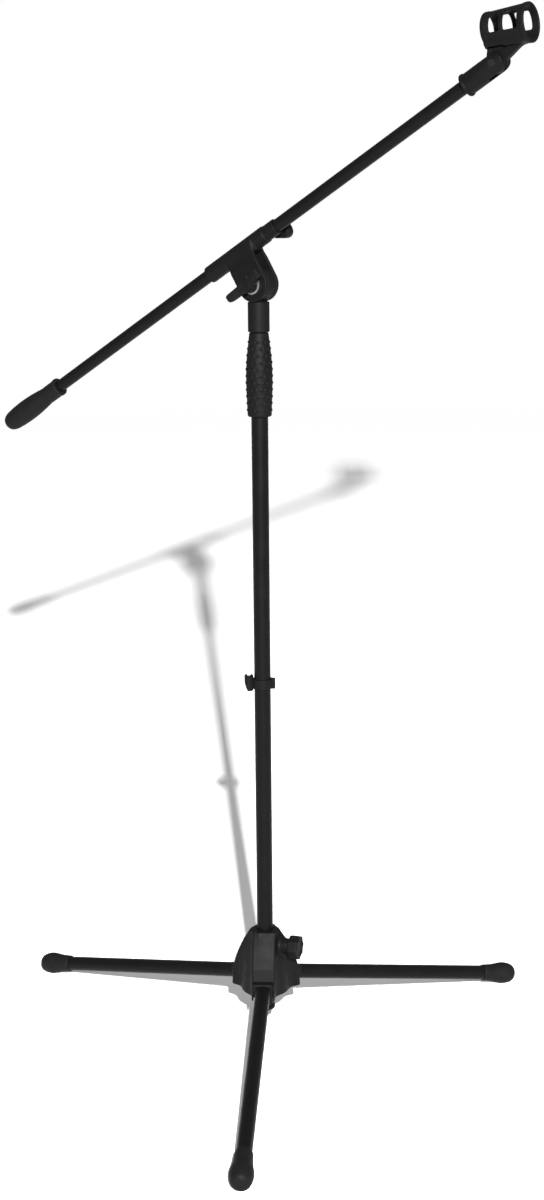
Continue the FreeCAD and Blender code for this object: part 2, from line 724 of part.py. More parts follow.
def build_adapter():
    """Swivel adapter on the boom's stud, forked for the microphone clip."""
    barrel = cylinder("adapter_barrel", "adapter_radius", "adapter_hinge - adapter_back",
                      at("adapter_back", 0, 0, ALONG_X))
    flange = cylinder("adapter_flange", "adapter_flange_radius", 3,
                      at("adapter_back", 0, 0, ALONG_X))
    end_bar = cylinder("adapter_end_bar", "adapter_radius", "2 * adapter_radius",
                       at("adapter_hinge", "-adapter_radius", 0, ALONG_Y))
    end_round = cylinder("adapter_end_round", "adapter_radius", "2 * adapter_radius",
                         at("adapter_hinge - adapter_radius", 0, 0, ALONG_X))
    end = doc.addObject("Part::Common", "adapter_end")
    end.Base = end_bar
    end.Tool = end_round
    body = fuse("adapter_solid", barrel, flange, end)
    slot = box("adapter_slot_cut", 60, "2 * adapter_slot", 60,
               at("adapter_slot_start", "-adapter_slot", -30))
    tube_hole = cylinder("adapter_tube_hole", "boom_radius + running_gap",
                         "boom_front - adapter_back + 0.4", at("adapter_back", 0, 0, ALONG_X))
    insert_hole = cylinder("adapter_insert_hole", "adapter_insert_radius",
                           "adapter_insert_end - adapter_back", at("adapter_back", 0, 0, ALONG_X))
    screw_hole = cylinder("adapter_screw_hole", "hinge_screw_radius", 60,
                          at("adapter_hinge", -30, 0, ALONG_Y))
    sunk = "adapter_radius - hinge_head_sink - hinge_head_length"
    head_seat = cylinder("adapter_head_seat", "hinge_head_radius", 20,
                         at("adapter_hinge", f"-({sunk}) - 20", 0, ALONG_Y))
    nut_seat = cylinder("adapter_nut_seat", "hinge_head_radius", 20,
                        at("adapter_hinge", sunk, 0, ALONG_Y))
    seat = BOOM * at(0, 0, "boom_offset")
    node(cut("adapter", body, slot, tube_hole, insert_hole, screw_hole, head_seat, nut_seat),
         "clip_adapter", seat)
    insert = tube("adapter_insert", "adapter_insert_radius", "stud_radius + running_gap",
                  "adapter_insert_end - boom_front - 0.4")
    node(insert, "adapter_thread_insert", seat * at("boom_front + 0.4", 0, 0, ALONG_X))
    shank = cylinder("hinge_shank", "hinge_screw_radius", f"2 * ({sunk})",
                     at(0, f"-({sunk})", 0, ALONG_Y))
    near_head = cylinder("hinge_head", "hinge_head_radius", "hinge_head_length",
                         at(0, f"-({sunk}) - hinge_head_length", 0, ALONG_Y))
    hinge = seat * at("adapter_hinge")
    node(fuse("hinge_screw", shank, near_head), "clip_hinge_screw", hinge)
    nut = doc.addObject("Part::Prism", "hinge_nut")
    nut.Polygon = 6
    bind(nut, "Circumradius", "hinge_head_radius")
    bind(nut, "Height", "hinge_head_length")
    node(nut, "clip_hinge_nut", hinge * at(0, sunk, 0, ALONG_Y))


def build_holder():
    """Microphone clip: a tapered ring with side windows on a tongue in the adapter's fork."""
    seat = BOOM * at("adapter_hinge", 0, "boom_offset",
                     Rotation(Vector(0, 1, 0), -value("clip_tilt")))
    length = "holder_front - holder_back"
    shell = doc.addObject("Part::Cone", "holder_shell")
    bind(shell, "Radius1", "holder_back_radius")
    bind(shell, "Radius2", "holder_front_radius")
    bind(shell, "Height", length)
    shell.Placement = at("holder_back", 0, "holder_height", ALONG_X)
    eye = cylinder("tongue_eye", "tongue_radius", "2 * tongue_half_width",
                   at(0, "-tongue_half_width", 0, ALONG_Y))
    stem = plate("tongue_stem", [
        ("-tongue_radius", 0),
        ("tongue_radius", 0),
        ("tongue_radius + 3", "holder_height - holder_back_radius - 15"),
        ("tongue_radius + 9", "holder_height - holder_back_radius - 11"),
        ("tongue_radius + 16", "holder_height - holder_back_radius - 6"),
        ("tongue_radius + 25", "holder_height - holder_bore - 3.5"),
        ("holder_back + 0.5", "holder_height - holder_bore - 3.5"),
        ("holder_back - 1", "holder_height - holder_back_radius - 6"),
    ], "2 * tongue_half_width")
    saddle = box("holder_saddle", "2 * tongue_radius + 17", "2 * saddle_half_width", 4,
                 at("holder_back + 1", "-saddle_half_width", "holder_height - holder_back_radius - 1"))
    body = fuse("holder_solid", shell, eye, stem, saddle)
    bore = cylinder("holder_bore_cut", "holder_bore", 200, at(-100, 0, "holder_height", ALONG_X))
    mouth = doc.addObject("Part::Cone", "holder_mouth_cut")
    bind(mouth, "Radius1", "holder_bore")
    bind(mouth, "Radius2", "holder_mouth")
    bind(mouth, "Height", "holder_front - holder_straight_bore")
    mouth.Placement = at("holder_straight_bore", 0, "holder_height", ALONG_X)
    tools = [bore, mouth]
    front_start = "holder_back + holder_back_rim + holder_back_window + holder_bar"
    windows = (("holder_back + holder_back_rim", "holder_back_window"),
               (front_start, f"holder_front - holder_front_rim - ({front_start})"))
    for number, (start, width) in enumerate(windows, start=1):
        tools.append(box(f"holder_window{number}", width, 80,
                         "holder_window_high - holder_window_low",
                         at(start, -40, "holder_height + holder_window_low")))
    tools.append(cylinder("holder_screw_hole", "hinge_screw_radius + running_gap", 40,
                          at(0, -20, 0, ALONG_Y)))
    node(cut("holder", body, *tools), "mic_clip", seat)


for side_name, side_bearing in LEGS.items():
    build_leg(side_name, side_bearing)
build_housing()
build_column()
build_cable_clip()
build_inner_tube()
build_swivel()
build_clamp()
build_boom()
build_adapter()
build_holder()
doc.recompute()

for item in doc.Objects:
    if "Invalid" in item.State or "Error" in item.State:
        raise RuntimeError(f"{item.Name} did not compute: {item.State}")
for item in nodes:
    if item.Shape.isNull() or not item.Shape.isValid() or not item.Shape.Solids:
        raise RuntimeError(f"{item.Label} has no valid solid")

os.makedirs("parts", exist_ok=True)
for item in nodes:
    item.Shape.exportStep(f"parts/{item.Label}.step")
    print(f"{item.Label}: {len(item.Shape.Solids)} solid(s), {item.Shape.Volume / 1000:.2f} cm3")
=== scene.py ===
"""Looks of the boom microphone stand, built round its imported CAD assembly.

Units are metres. The origin is on the column's axis at floor level, +Z is up, the front leg
points along -Y and the boom rises towards +X.
"""

import json
import logging
import math
from dataclasses import dataclass, field
from enum import Enum
from typing import Callable, Iterable, Optional, Sequence

import bpy
import numpy as np
from mathutils import Matrix, Vector

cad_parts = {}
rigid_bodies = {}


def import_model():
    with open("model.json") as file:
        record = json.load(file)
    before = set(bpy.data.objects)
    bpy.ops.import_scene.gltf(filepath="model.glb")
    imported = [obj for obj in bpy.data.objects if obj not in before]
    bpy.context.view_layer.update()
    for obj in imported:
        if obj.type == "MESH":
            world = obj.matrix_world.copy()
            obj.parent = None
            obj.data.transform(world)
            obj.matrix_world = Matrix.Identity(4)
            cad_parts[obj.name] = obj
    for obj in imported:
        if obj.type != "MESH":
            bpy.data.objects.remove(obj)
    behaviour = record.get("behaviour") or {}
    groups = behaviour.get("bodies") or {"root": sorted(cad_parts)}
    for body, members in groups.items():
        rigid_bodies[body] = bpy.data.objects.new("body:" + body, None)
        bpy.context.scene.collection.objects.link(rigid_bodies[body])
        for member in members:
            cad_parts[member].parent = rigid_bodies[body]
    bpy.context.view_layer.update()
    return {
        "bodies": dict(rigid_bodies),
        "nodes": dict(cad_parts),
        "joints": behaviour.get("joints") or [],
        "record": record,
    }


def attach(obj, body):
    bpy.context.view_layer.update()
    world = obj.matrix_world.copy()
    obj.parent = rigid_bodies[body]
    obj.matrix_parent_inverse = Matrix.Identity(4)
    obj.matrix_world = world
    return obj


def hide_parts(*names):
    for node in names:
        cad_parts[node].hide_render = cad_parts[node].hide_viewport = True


log = logging.getLogger("boom_stand")
Field = Callable[[np.ndarray], np.ndarray]
MM = 0.001


# Places ------------------------------

def turn_z(degrees: float) -> np.ndarray:
    """Rotation about the vertical axis."""
    c, s = math.cos(math.radians(degrees)), math.sin(math.radians(degrees))
    return np.array([[c, -s, 0.0], [s, c, 0.0], [0.0, 0.0, 1.0]])


def tip_y(degrees: float) -> np.ndarray:
    """Rotation about +Y; a positive angle tips +X downwards."""
    c, s = math.cos(math.radians(degrees)), math.sin(math.radians(degrees))
    return np.array([[c, 0.0, s], [0.0, 1.0, 0.0], [-s, 0.0, c]])


@dataclass(frozen=True)
class Place:
    """A local frame: where its origin is and how its axes are turned, in the row frame."""

    origin: tuple = (0.0, 0.0, 0.0)
    turn: np.ndarray = field(default_factory=lambda: np.eye(3))

    def out(self, points: np.ndarray) -> np.ndarray:
        """Takes local points (mm) into the row frame (mm)."""
        return points @ self.turn.T + np.asarray(self.origin)

    def shifted(self, x: float = 0.0, y: float = 0.0, z: float = 0.0,
                turn: Optional[np.ndarray] = None) -> "Place":
        """A frame at a local offset (mm), turned further by a rotation."""
        origin = self.out(np.array([x, y, z], float))
        return Place(tuple(origin), self.turn if turn is None else self.turn @ turn)


@dataclass(frozen=True)
class StandLayout:
    """Where the stand's main parts sit (mm and degrees)."""

    leg_height: float = 90.5
    leg_slope: float = 12.15
    leg_bearings: tuple = (("front", -90.0), ("right", 30.0), ("left", 150.0))
    lock_height: float = 127.5
    lock_bearing: float = -16.0
    clip_height: float = 468.0
    pivot_height: float = 948.0
    boom_bearing: float = -30.0
    boom_rise: float = 31.0
    boom_offset: float = 43.4
    hinge_at: float = 380.0
    clip_tilt: float = -25.0

    def leg(self, bearing: float) -> Place:
        """Frame of one leg: +X runs down its axis."""
        return Place((0.0, 0.0, self.leg_height), turn_z(bearing) @ tip_y(self.leg_slope))

    def head(self) -> Place:
        """Frame at the pivot bolt, upright and turned with the boom."""
        return Place((0.0, 0.0, self.pivot_height), turn_z(self.boom_bearing))

    def boom(self) -> Place:
        """Frame at the pivot bolt: +X runs up the boom, +Y is the far side."""
        return self.head().shifted(turn=tip_y(-self.boom_rise))

    def boom_axis(self) -> Place:
        """Frame on the boom tube's own axis, above the bolt."""
        return self.boom().shifted(z=self.boom_offset)

    def holder(self) -> Place:
        """Frame at the microphone clip's hinge: +X runs along the ring."""
        return self.boom_axis().shifted(x=self.hinge_at, turn=tip_y(-self.clip_tilt))


LAYOUT = StandLayout()


# Solids described by distance --------

def length_of(*parts: np.ndarray) -> np.ndarray:
    """Length of the vector made of these components."""
    return np.sqrt(sum(part * part for part in parts))


def blend_in(first: np.ndarray, second: np.ndarray, radius: float) -> np.ndarray:
    """Joins two solids with a fillet: the smaller distance, eased where they are close.

    Args:
        first: One solid's distance.
        second: The other's.
        radius: Radius of the fillet.

    Returns:
        The joined distance.
    """
    if radius <= 0.0:
        return np.minimum(first, second)
    near = np.clip(0.5 + 0.5 * (second - first) / radius, 0.0, 1.0)
    return second + (first - second) * near - radius * near * (1.0 - near)


def keep_in(first: np.ndarray, second: np.ndarray, radius: float) -> np.ndarray:
    """Keeps what two solids share, with the edge between them rounded."""
    return -blend_in(-first, -second, radius)


def carve(solid: np.ndarray, tool: np.ndarray, radius: float = 0.0) -> np.ndarray:
    """Takes a tool out of a solid, with the edge of the cut rounded."""
    return keep_in(solid, -tool, radius)


def slab(points: np.ndarray, low: Sequence[float], high: Sequence[float],
         rounding: float = 0.0) -> np.ndarray:
    """Distance to a box between two corners, with rounded edges.

    Args:
        points: Places to measure.
        low: Lower corner.
        high: Upper corner.
        rounding: Radius of the edges.

    Returns:
        Their distances.
    """
    centre = (np.asarray(low, float) + np.asarray(high, float)) / 2
    half = (np.asarray(high, float) - np.asarray(low, float)) / 2 - rounding
    away = np.abs(points - centre) - half
    outside = np.sqrt((np.maximum(away, 0.0) ** 2).sum(1))
    return outside + np.minimum(away.max(1), 0.0) - rounding


def bar(points: np.ndarray, radius: "float | np.ndarray", start: float, end: float,
        axis: int = 0, centre: Sequence[float] = (0.0, 0.0, 0.0),
        rounding: float = 0.0) -> np.ndarray:
    """Distance to a round bar along one axis, between two ends, with rounded rims.

    Args:
        points: Places to measure.
        radius: Radius, one for all or one each.
        start: Where the bar starts.
        end: Where it ends.
        axis: 0, 1 or 2 for X, Y or Z.
        centre: A point on its axis.
        rounding: Radius of the rims.

    Returns:
        Their distances.
    """
    moved = points - np.asarray(centre, float)
    others = [k for k in range(3) if k != axis]
    across = length_of(moved[:, others[0]], moved[:, others[1]]) - (radius - rounding)
    along = np.abs(moved[:, axis] - (start + end) / 2) - ((end - start) / 2 - rounding)
    outside = length_of(np.maximum(across, 0.0), np.maximum(along, 0.0))
    return outside + np.minimum(np.maximum(across, along), 0.0) - rounding


def surface_of(solid: Field, low: Sequence[float], high: Sequence[float],
               step: float) -> tuple[np.ndarray, np.ndarray]:
    """Meshes the zero surface of a distance field with one vertex per crossed grid cell.

    Args:
        solid: distance (mm) at each of a list of points; negative is inside.
        low: lowest corner of the sampled space (mm).
        high: highest corner of the sampled space (mm).
        step: grid spacing (mm).

    Returns:
        Vertices (mm) and quads that face outwards.
    """
    axes = [np.arange(a, b + step, step) for a, b in zip(low, high)]
    grid = np.stack(np.meshgrid(*axes, indexing="ij"), -1)
    shape = grid.shape[:3]
    values = solid(grid.reshape(-1, 3)).reshape(shape)
    cells = tuple(n - 1 for n in shape)
    total = np.zeros(cells + (3,))
    count = np.zeros(cells)
    crossings = []
    for axis in range(3):
        first = np.take(values, range(shape[axis] - 1), axis)
        second = np.take(values, range(1, shape[axis]), axis)
        crossed = (first < 0) != (second < 0)
        share = np.where(crossed, first / np.where(crossed, first - second, 1.0), 0.0)
        point = np.take(grid, range(shape[axis] - 1), axis).copy()
        point[..., axis] += share * step
        side_a, side_b = [k for k in range(3) if k != axis]
        for shift_a in (0, 1):
            for shift_b in (0, 1):
                window = [slice(None)] * 3
                window[side_a] = slice(shift_a, shift_a + cells[side_a])
                window[side_b] = slice(shift_b, shift_b + cells[side_b])
                hit = crossed[tuple(window)]
                total += point[tuple(window)] * hit[..., None]
                count += hit
        crossings.append((axis, side_a, side_b, crossed, first < 0))
    used = count > 0
    number = np.full(cells, -1)
    number[used] = np.arange(used.sum())
    vertices = total[used] / count[used][:, None]
    quads = []
    for axis, side_a, side_b, crossed, inside_first in crossings:
        inner = [slice(None)] * 3
        inner[side_a] = slice(1, cells[side_a])
        inner[side_b] = slice(1, cells[side_b])
        where = np.argwhere(crossed[tuple(inner)])
        outward = inside_first[tuple(inner)][tuple(where.T)]
        corners = []
        for shift_a, shift_b in ((0, 0), (1, 0), (1, 1), (0, 1)):
            cell = where.copy()
            cell[:, side_a] += shift_a
            cell[:, side_b] += shift_b
            corners.append(number[tuple(cell.T)])
        quad = np.stack(corners, 1)
        flip = ~outward if axis != 1 else outward
        quad[flip] = quad[flip][:, ::-1]
        quads.append(quad)
    return settled(solid, vertices, step), np.concatenate(quads)


def settled(solid: Field, vertices: np.ndarray, step: float) -> np.ndarray:
    """Moves vertices down the field's slope until they lie on its zero surface.

    Args:
        solid: The distance field.
        vertices: The vertices.
        step: Size of a grid cell.

    Returns:
        The moved vertices.
    """
    reach = step * 0.1
    for _ in range(2):
        slope = np.stack([
            (solid(vertices + offset) - solid(vertices - offset)) / (2 * reach)
            for offset in np.eye(3) * reach
        ], 1)
        size = np.maximum((slope ** 2).sum(1), 0.2)
        move = slope * (solid(vertices) / size)[:, None]
        vertices = vertices - np.clip(move, -step / 2, step / 2)
    return vertices


# Meshes ------------------------------

def add_piece(name: str, vertices: np.ndarray, faces: list, finish: bpy.types.Material,
              body: str, stands_for: Iterable[str] = ()) -> bpy.types.Object:
    """Makes one smooth piece from vertices in row-frame millimetres and hangs it on a CAD body.

    Args:
        name: the piece's name.
        vertices: positions (mm).
        faces: vertex numbers of each face.
        finish: its material.
        body: the CAD body it moves with.
        stands_for: CAD nodes it is shown in place of.

    Returns:
        The new object.
    """
    mesh = bpy.data.meshes.new(name)
    mesh.from_pydata((vertices * MM).tolist(), [], faces)
    mesh.polygons.foreach_set("use_smooth", np.ones(len(mesh.polygons), bool))
    mesh.materials.append(finish)
    mesh.validate()
    mesh.update()
    piece = bpy.data.objects.new(name, mesh)
    bpy.context.scene.collection.objects.link(piece)
    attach(piece, body)
    if stands_for:
        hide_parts(*stands_for)
    log.info("%s: %d faces on %s", name, len(mesh.polygons), body)
    return piece


def turned_surface(profile: np.ndarray, around: int = 64, ring: bool = False,
                   push: Optional[Callable[..., np.ndarray]] = None) -> tuple[np.ndarray, list]:
    """Turns (along, radius) points about local X.

    Args:
        profile: the outline, from its lower X to its higher X along the outside.
        around: columns round the axis.
        ring: closes the outline on itself instead of capping its two ends.
        push: extra radius from arrays of along, radius and angle.

    Returns:
        Local vertices (mm) and outward faces.
    """
    line = np.asarray(profile, float)
    rows = len(line)
    angle = np.broadcast_to(np.linspace(0.0, 2 * math.pi, around, endpoint=False), (rows, around))
    along = np.repeat(line[:, :1], around, 1)
    radius = np.repeat(line[:, 1:], around, 1)
    if push is not None:
        radius = radius + push(along, radius, angle)
    skin = np.stack([along, radius * np.cos(angle), radius * np.sin(angle)], -1).reshape(-1, 3)
    row, column = np.meshgrid(np.arange(rows if ring else rows - 1), np.arange(around),
                              indexing="ij")
    above, beside = (row + 1) % rows, (column + 1) % around
    quads = np.stack([row * around + column, above * around + column,
                      above * around + beside, row * around + beside], -1).reshape(-1, 4)
    if ring:
        return skin, quads.tolist()
    ends = np.array([[line[0, 0], 0.0, 0.0], [line[-1, 0], 0.0, 0.0]])
    column = np.arange(around)
    beside = (column + 1) % around
    last = (rows - 1) * around
    first_cap = np.stack([np.full(around, len(skin)), column, beside], 1)
    last_cap = np.stack([np.full(around, len(skin) + 1), last + beside, last + column], 1)
    return np.concatenate([skin, ends]), quads.tolist() + first_cap.tolist() + last_cap.tolist()


def finely(points: Sequence[tuple[float, float]], spacing: float) -> np.ndarray:
    """Rounds a profile off with a short moving average and spaces its points evenly.

    Args:
        points: The profile's corners.
        spacing: Gap between new points.

    Returns:
        The new points.
    """
    line = np.asarray(points, float)
    run = np.concatenate([[0.0], np.cumsum(np.hypot(*np.diff(line, axis=0).T))])
    even = np.linspace(0.0, run[-1], max(int(run[-1] / spacing), 4))
    even_line = np.stack([np.interp(even, run, line[:, 0]), np.interp(even, run, line[:, 1])], 1)
    padded = np.concatenate([even_line[:1], even_line, even_line[-1:]])
    soft = (padded[:-2] + 2 * padded[1:-1] + padded[2:]) / 4
    soft[0], soft[-1] = even_line[0], even_line[-1]
    return soft


# Finishes ----------------------------

class Slot(Enum):
    """The record's material slots."""

    TUBE = "black_tube"
    MOULDING = "black_moulding"
    RUBBER = "black_rubber"
    ZINC = "zinc_steel"
    DARK_STEEL = "black_steel"
    BRASS = "brass_insert"
    NYLON = "pale_nylon"


@dataclass(frozen=True)
class Finish:
    """A procedural surface: colour mottling, roughness variation and a fine relief.

    Lengths are in metres of the object's own coordinates.
    """

    slot: Slot
    colour: tuple
    colour_other: tuple
    roughness: float
    roughness_spread: float
    metallic: float = 0.0
    specular: float = 0.5
    patch_size: float = 0.02
    grain_size: float = 0.0006
    relief: float = 0.15
    relief_depth: float = 0.00006
    stretch: tuple = (1.0, 1.0, 1.0)

    def build(self) -> bpy.types.Material:
        """Makes the node material.

        Returns:
            The material.
        """
        material = bpy.data.materials.new(self.slot.value)
        material.use_nodes = True
        nodes, links = material.node_tree.nodes, material.node_tree.links
        shader = nodes["Principled BSDF"]
        shader.inputs["Metallic"].default_value = self.metallic
        shader.inputs["Specular IOR Level"].default_value = self.specular
        place = nodes.new("ShaderNodeTexCoord")
        mapping = nodes.new("ShaderNodeMapping")
        mapping.inputs["Scale"].default_value = self.stretch
        links.new(place.outputs["Object"], mapping.inputs["Vector"])
        patches = self._noise(nodes, links, mapping, 1.0 / self.patch_size, 4.0)
        grain = self._noise(nodes, links, mapping, 1.0 / self.grain_size, 2.0)
        mix = nodes.new("ShaderNodeMix")
        mix.data_type = "RGBA"
        mix.inputs["A"].default_value = (*self.colour, 1.0)
        mix.inputs["B"].default_value = (*self.colour_other, 1.0)
        links.new(patches.outputs["Fac"], mix.inputs["Factor"])
        links.new(mix.outputs["Result"], shader.inputs["Base Color"])
        spread = nodes.new("ShaderNodeMapRange")
        spread.inputs["From Min"].default_value = 0.3
        spread.inputs["From Max"].default_value = 0.7
        spread.inputs["To Min"].default_value = self.roughness - self.roughness_spread
        spread.inputs["To Max"].default_value = self.roughness + self.roughness_spread
        links.new(patches.outputs["Fac"], spread.inputs["Value"])
        links.new(spread.outputs["Result"], shader.inputs["Roughness"])
        bump = nodes.new("ShaderNodeBump")
        bump.inputs["Strength"].default_value = self.relief
        bump.inputs["Distance"].default_value = self.relief_depth
        links.new(grain.outputs["Fac"], bump.inputs["Height"])
        links.new(bump.outputs["Normal"], shader.inputs["Normal"])
        return material

    @staticmethod
    def _noise(nodes: bpy.types.Nodes, links: bpy.types.NodeLinks, mapping: bpy.types.Node,
               scale: float, detail: float) -> bpy.types.Node:
        """A noise texture of a given scale on the mapped coordinates.

        Args:
            nodes: The material's nodes.
            links: Its links.
            mapping: The node with the coordinates.
            scale: How fine the noise is.
            detail: Its layers.

        Returns:
            The noise node.
        """
        noise = nodes.new("ShaderNodeTexNoise")
        noise.inputs["Scale"].default_value = scale
        noise.inputs["Detail"].default_value = detail
        links.new(mapping.outputs["Vector"], noise.inputs["Vector"])
        return noise


FINISHES = (
    Finish(Slot.TUBE, (0.0018, 0.0018, 0.0020), (0.0028, 0.0028, 0.0030), 0.45, 0.05,
           specular=0.06, grain_size=0.0005, relief=0.25),
    Finish(Slot.MOULDING, (0.0024, 0.0024, 0.0026), (0.0036, 0.0036, 0.0039), 0.55, 0.06,
           specular=0.06, grain_size=0.0008, relief=0.35),
    Finish(Slot.RUBBER, (0.0030, 0.0030, 0.0032), (0.0046, 0.0046, 0.0048), 0.62, 0.06,
           specular=0.07, grain_size=0.0012, relief=0.4),
    Finish(Slot.DARK_STEEL, (0.0038, 0.0038, 0.0040), (0.0058, 0.0058, 0.0060), 0.40, 0.05,
           specular=0.2, patch_size=0.004, grain_size=0.0004),
    Finish(Slot.ZINC, (0.55, 0.55, 0.54), (0.60, 0.60, 0.59), 0.40, 0.04, metallic=1.0,
           patch_size=0.006, grain_size=0.001, relief=0.0),
    Finish(Slot.BRASS, (0.70, 0.50, 0.22), (0.78, 0.60, 0.30), 0.32, 0.06, metallic=1.0,
           patch_size=0.004, grain_size=0.0004),
    Finish(Slot.NYLON, (0.62, 0.60, 0.54), (0.70, 0.68, 0.62), 0.50, 0.05, patch_size=0.008),
)


class Palette:
    """The stand's materials by slot, and the way to hang finished pieces."""

    def __init__(self, finishes: Sequence[Finish]) -> None:
        """Builds the material of every slot."""
        self.materials = {finish.slot: finish.build() for finish in finishes}

    def piece(self, name: str, place: Place, vertices: np.ndarray, faces: list, slot: Slot,
              body: str, *stands_for: str) -> bpy.types.Object:
        """Adds a piece given in a local frame."""
        return add_piece(name, place.out(vertices), faces, self.materials[slot], body,
                         stands_for)

    def solid(self, name: str, place: Place, shape: Field, low: Sequence[float],
              high: Sequence[float], step: float, slot: Slot, body: str,
              *stands_for: str) -> bpy.types.Object:
        """Adds a piece from a distance field given in a local frame."""
        coarse = 1.0
        vertices, quads = surface_of(shape, low, high, step * coarse)
        return self.piece(name, place, vertices, quads.tolist(), slot, body, *stands_for)

    def dress(self, frame: dict) -> None:
        """Gives every CAD node the material of its slot in the record."""
        slots = {part["node"]: Slot(part["material_slot"]) for part in frame["record"]["subparts"]}
        for name, node in frame["nodes"].items():
            node.data.materials.clear()
            node.data.materials.append(self.materials[slots[name]])


# Sub-assemblies ----------------------

UPWARD = tip_y(-90.0)


@dataclass(frozen=True)
class LegHousing:
    """The moulded housing: a bell with three arms for the legs and a boss for its lock."""

    bottom: float = 67.5
    top: float = 148.5
    arm_heights: tuple = (60.0, 80.0, 93.5, 107.5, 120.5, 133.5, 142.5, 149.0)
    arm_reaches: tuple = (42.8, 42.2, 40.6, 36.6, 31.0, 24.2, 18.0, 13.2)
    core_heights: tuple = (60.0, 90.0, 108.0, 122.0, 134.0, 143.0, 149.0)
    core_reaches: tuple = (30.5, 29.5, 27.5, 24.5, 20.0, 16.0, 13.2)
    arm_half: float = 14.6
    slot_half: float = 12.3
    slot_inner: float = 14.6
    wall: float = 2.5
    column: float = 10.08
    boss: float = 10.0
    boss_reach: float = 32.5
    slot_over_axis: float = 10.4
    hollow_top: float = 112.0
    core: float = 13.0
    screw_bore: float = 4.2
    insert_bore: float = 6.5
    insert_span: tuple = (15.0, 24.0)

    def shape(self, points: np.ndarray) -> np.ndarray:
        """Distance field of the housing in the stand's own frame.

        Args:
            points: Places to measure.

        Returns:
            Their distances.
        """
        height = points[:, 2]
        radius = length_of(points[:, 0], points[:, 1])
        skin = (radius - np.interp(height, self.core_heights, self.core_reaches)) * 0.9
        slots = []
        for _, bearing in LAYOUT.leg_bearings:
            local = points @ turn_z(bearing)
            out = (local[:, 0] - np.interp(height, self.arm_heights, self.arm_reaches)) * 0.9
            across = np.abs(local[:, 1]) - self.arm_half
            arm = keep_in(keep_in(out, across, 3.0), -local[:, 0], 0.0)
            skin = blend_in(skin, arm, 7.0)
            slope = math.tan(math.radians(LAYOUT.leg_slope))
            ceiling = (LAYOUT.leg_height + self.slot_over_axis / math.cos(math.atan(slope))
                       - local[:, 0] * slope)
            slots.append(np.maximum.reduce([np.abs(local[:, 1]) - self.slot_half,
                                            self.slot_inner - local[:, 0], height - ceiling]))
        body = keep_in(skin, np.abs(height - (self.bottom + self.top) / 2)
                       - (self.top - self.bottom) / 2, 1.6)
        hollow = np.maximum.reduce([skin + self.wall, height - self.hollow_top,
                                    self.core - radius])
        body = carve(body, hollow, 0.6)
        turned = points @ turn_z(LAYOUT.lock_bearing)
        lock = (0.0, 0.0, LAYOUT.lock_height)
        body = blend_in(body, bar(turned, self.boss, 8.0, self.boss_reach, 0, lock, 0.8), 3.0)
        for slot in slots:
            body = carve(body, slot, 0.8)
        body = carve(body, bar(turned, self.screw_bore, 0.0, 60.0, 0, lock))
        body = carve(body, bar(turned, self.insert_bore, *self.insert_span, 0, lock))
        return carve(body, radius - self.column, 0.4)

    def build(self, palette: Palette) -> None:
        """Adds the housing."""
        palette.solid("housing_shell", Place(), self.shape, (-47, -47, 65), (47, 47, 151),
                      0.75, Slot.MOULDING, "base", "leg_housing")


@dataclass(frozen=True)
class LobedKnob:
    """A hand knob about local +X with a wavy rim and a dished face."""

    radius: float
    wave: float
    lobes: int
    start: float
    depth: float
    screw: float
    screw_depth: float
    dish: float = 1.2
    face_share: float = 0.62

    def shape(self, points: np.ndarray) -> np.ndarray:
        """Distance field of the knob.

        Args:
            points: Places to measure.

        Returns:
            Their distances.
        """
        angle = np.arctan2(points[:, 2], points[:, 1])
        reach = length_of(points[:, 1], points[:, 2])
        rim = self.radius - self.wave + self.wave * np.cos(self.lobes * angle)
        middle = self.start + self.depth / 2
        body = keep_in(reach - rim, np.abs(points[:, 0] - middle) - self.depth / 2, 3.0)
        face = bar(points, self.radius * self.face_share, self.start + self.depth - self.dish,
                   self.start + self.depth + 5.0)
        body = carve(body, face, 1.0)
        return carve(body, bar(points, self.screw, -5.0, self.screw_depth))

    def build(self, palette: Palette, name: str, place: Place, body: str, node: str) -> None:
        """Adds the knob."""
        size = self.radius + 2.0
        palette.solid(name, place, self.shape, (self.start - 2, -size, -size),
                      (self.start + self.depth + 2, size, size), 0.5, Slot.MOULDING, body, node)


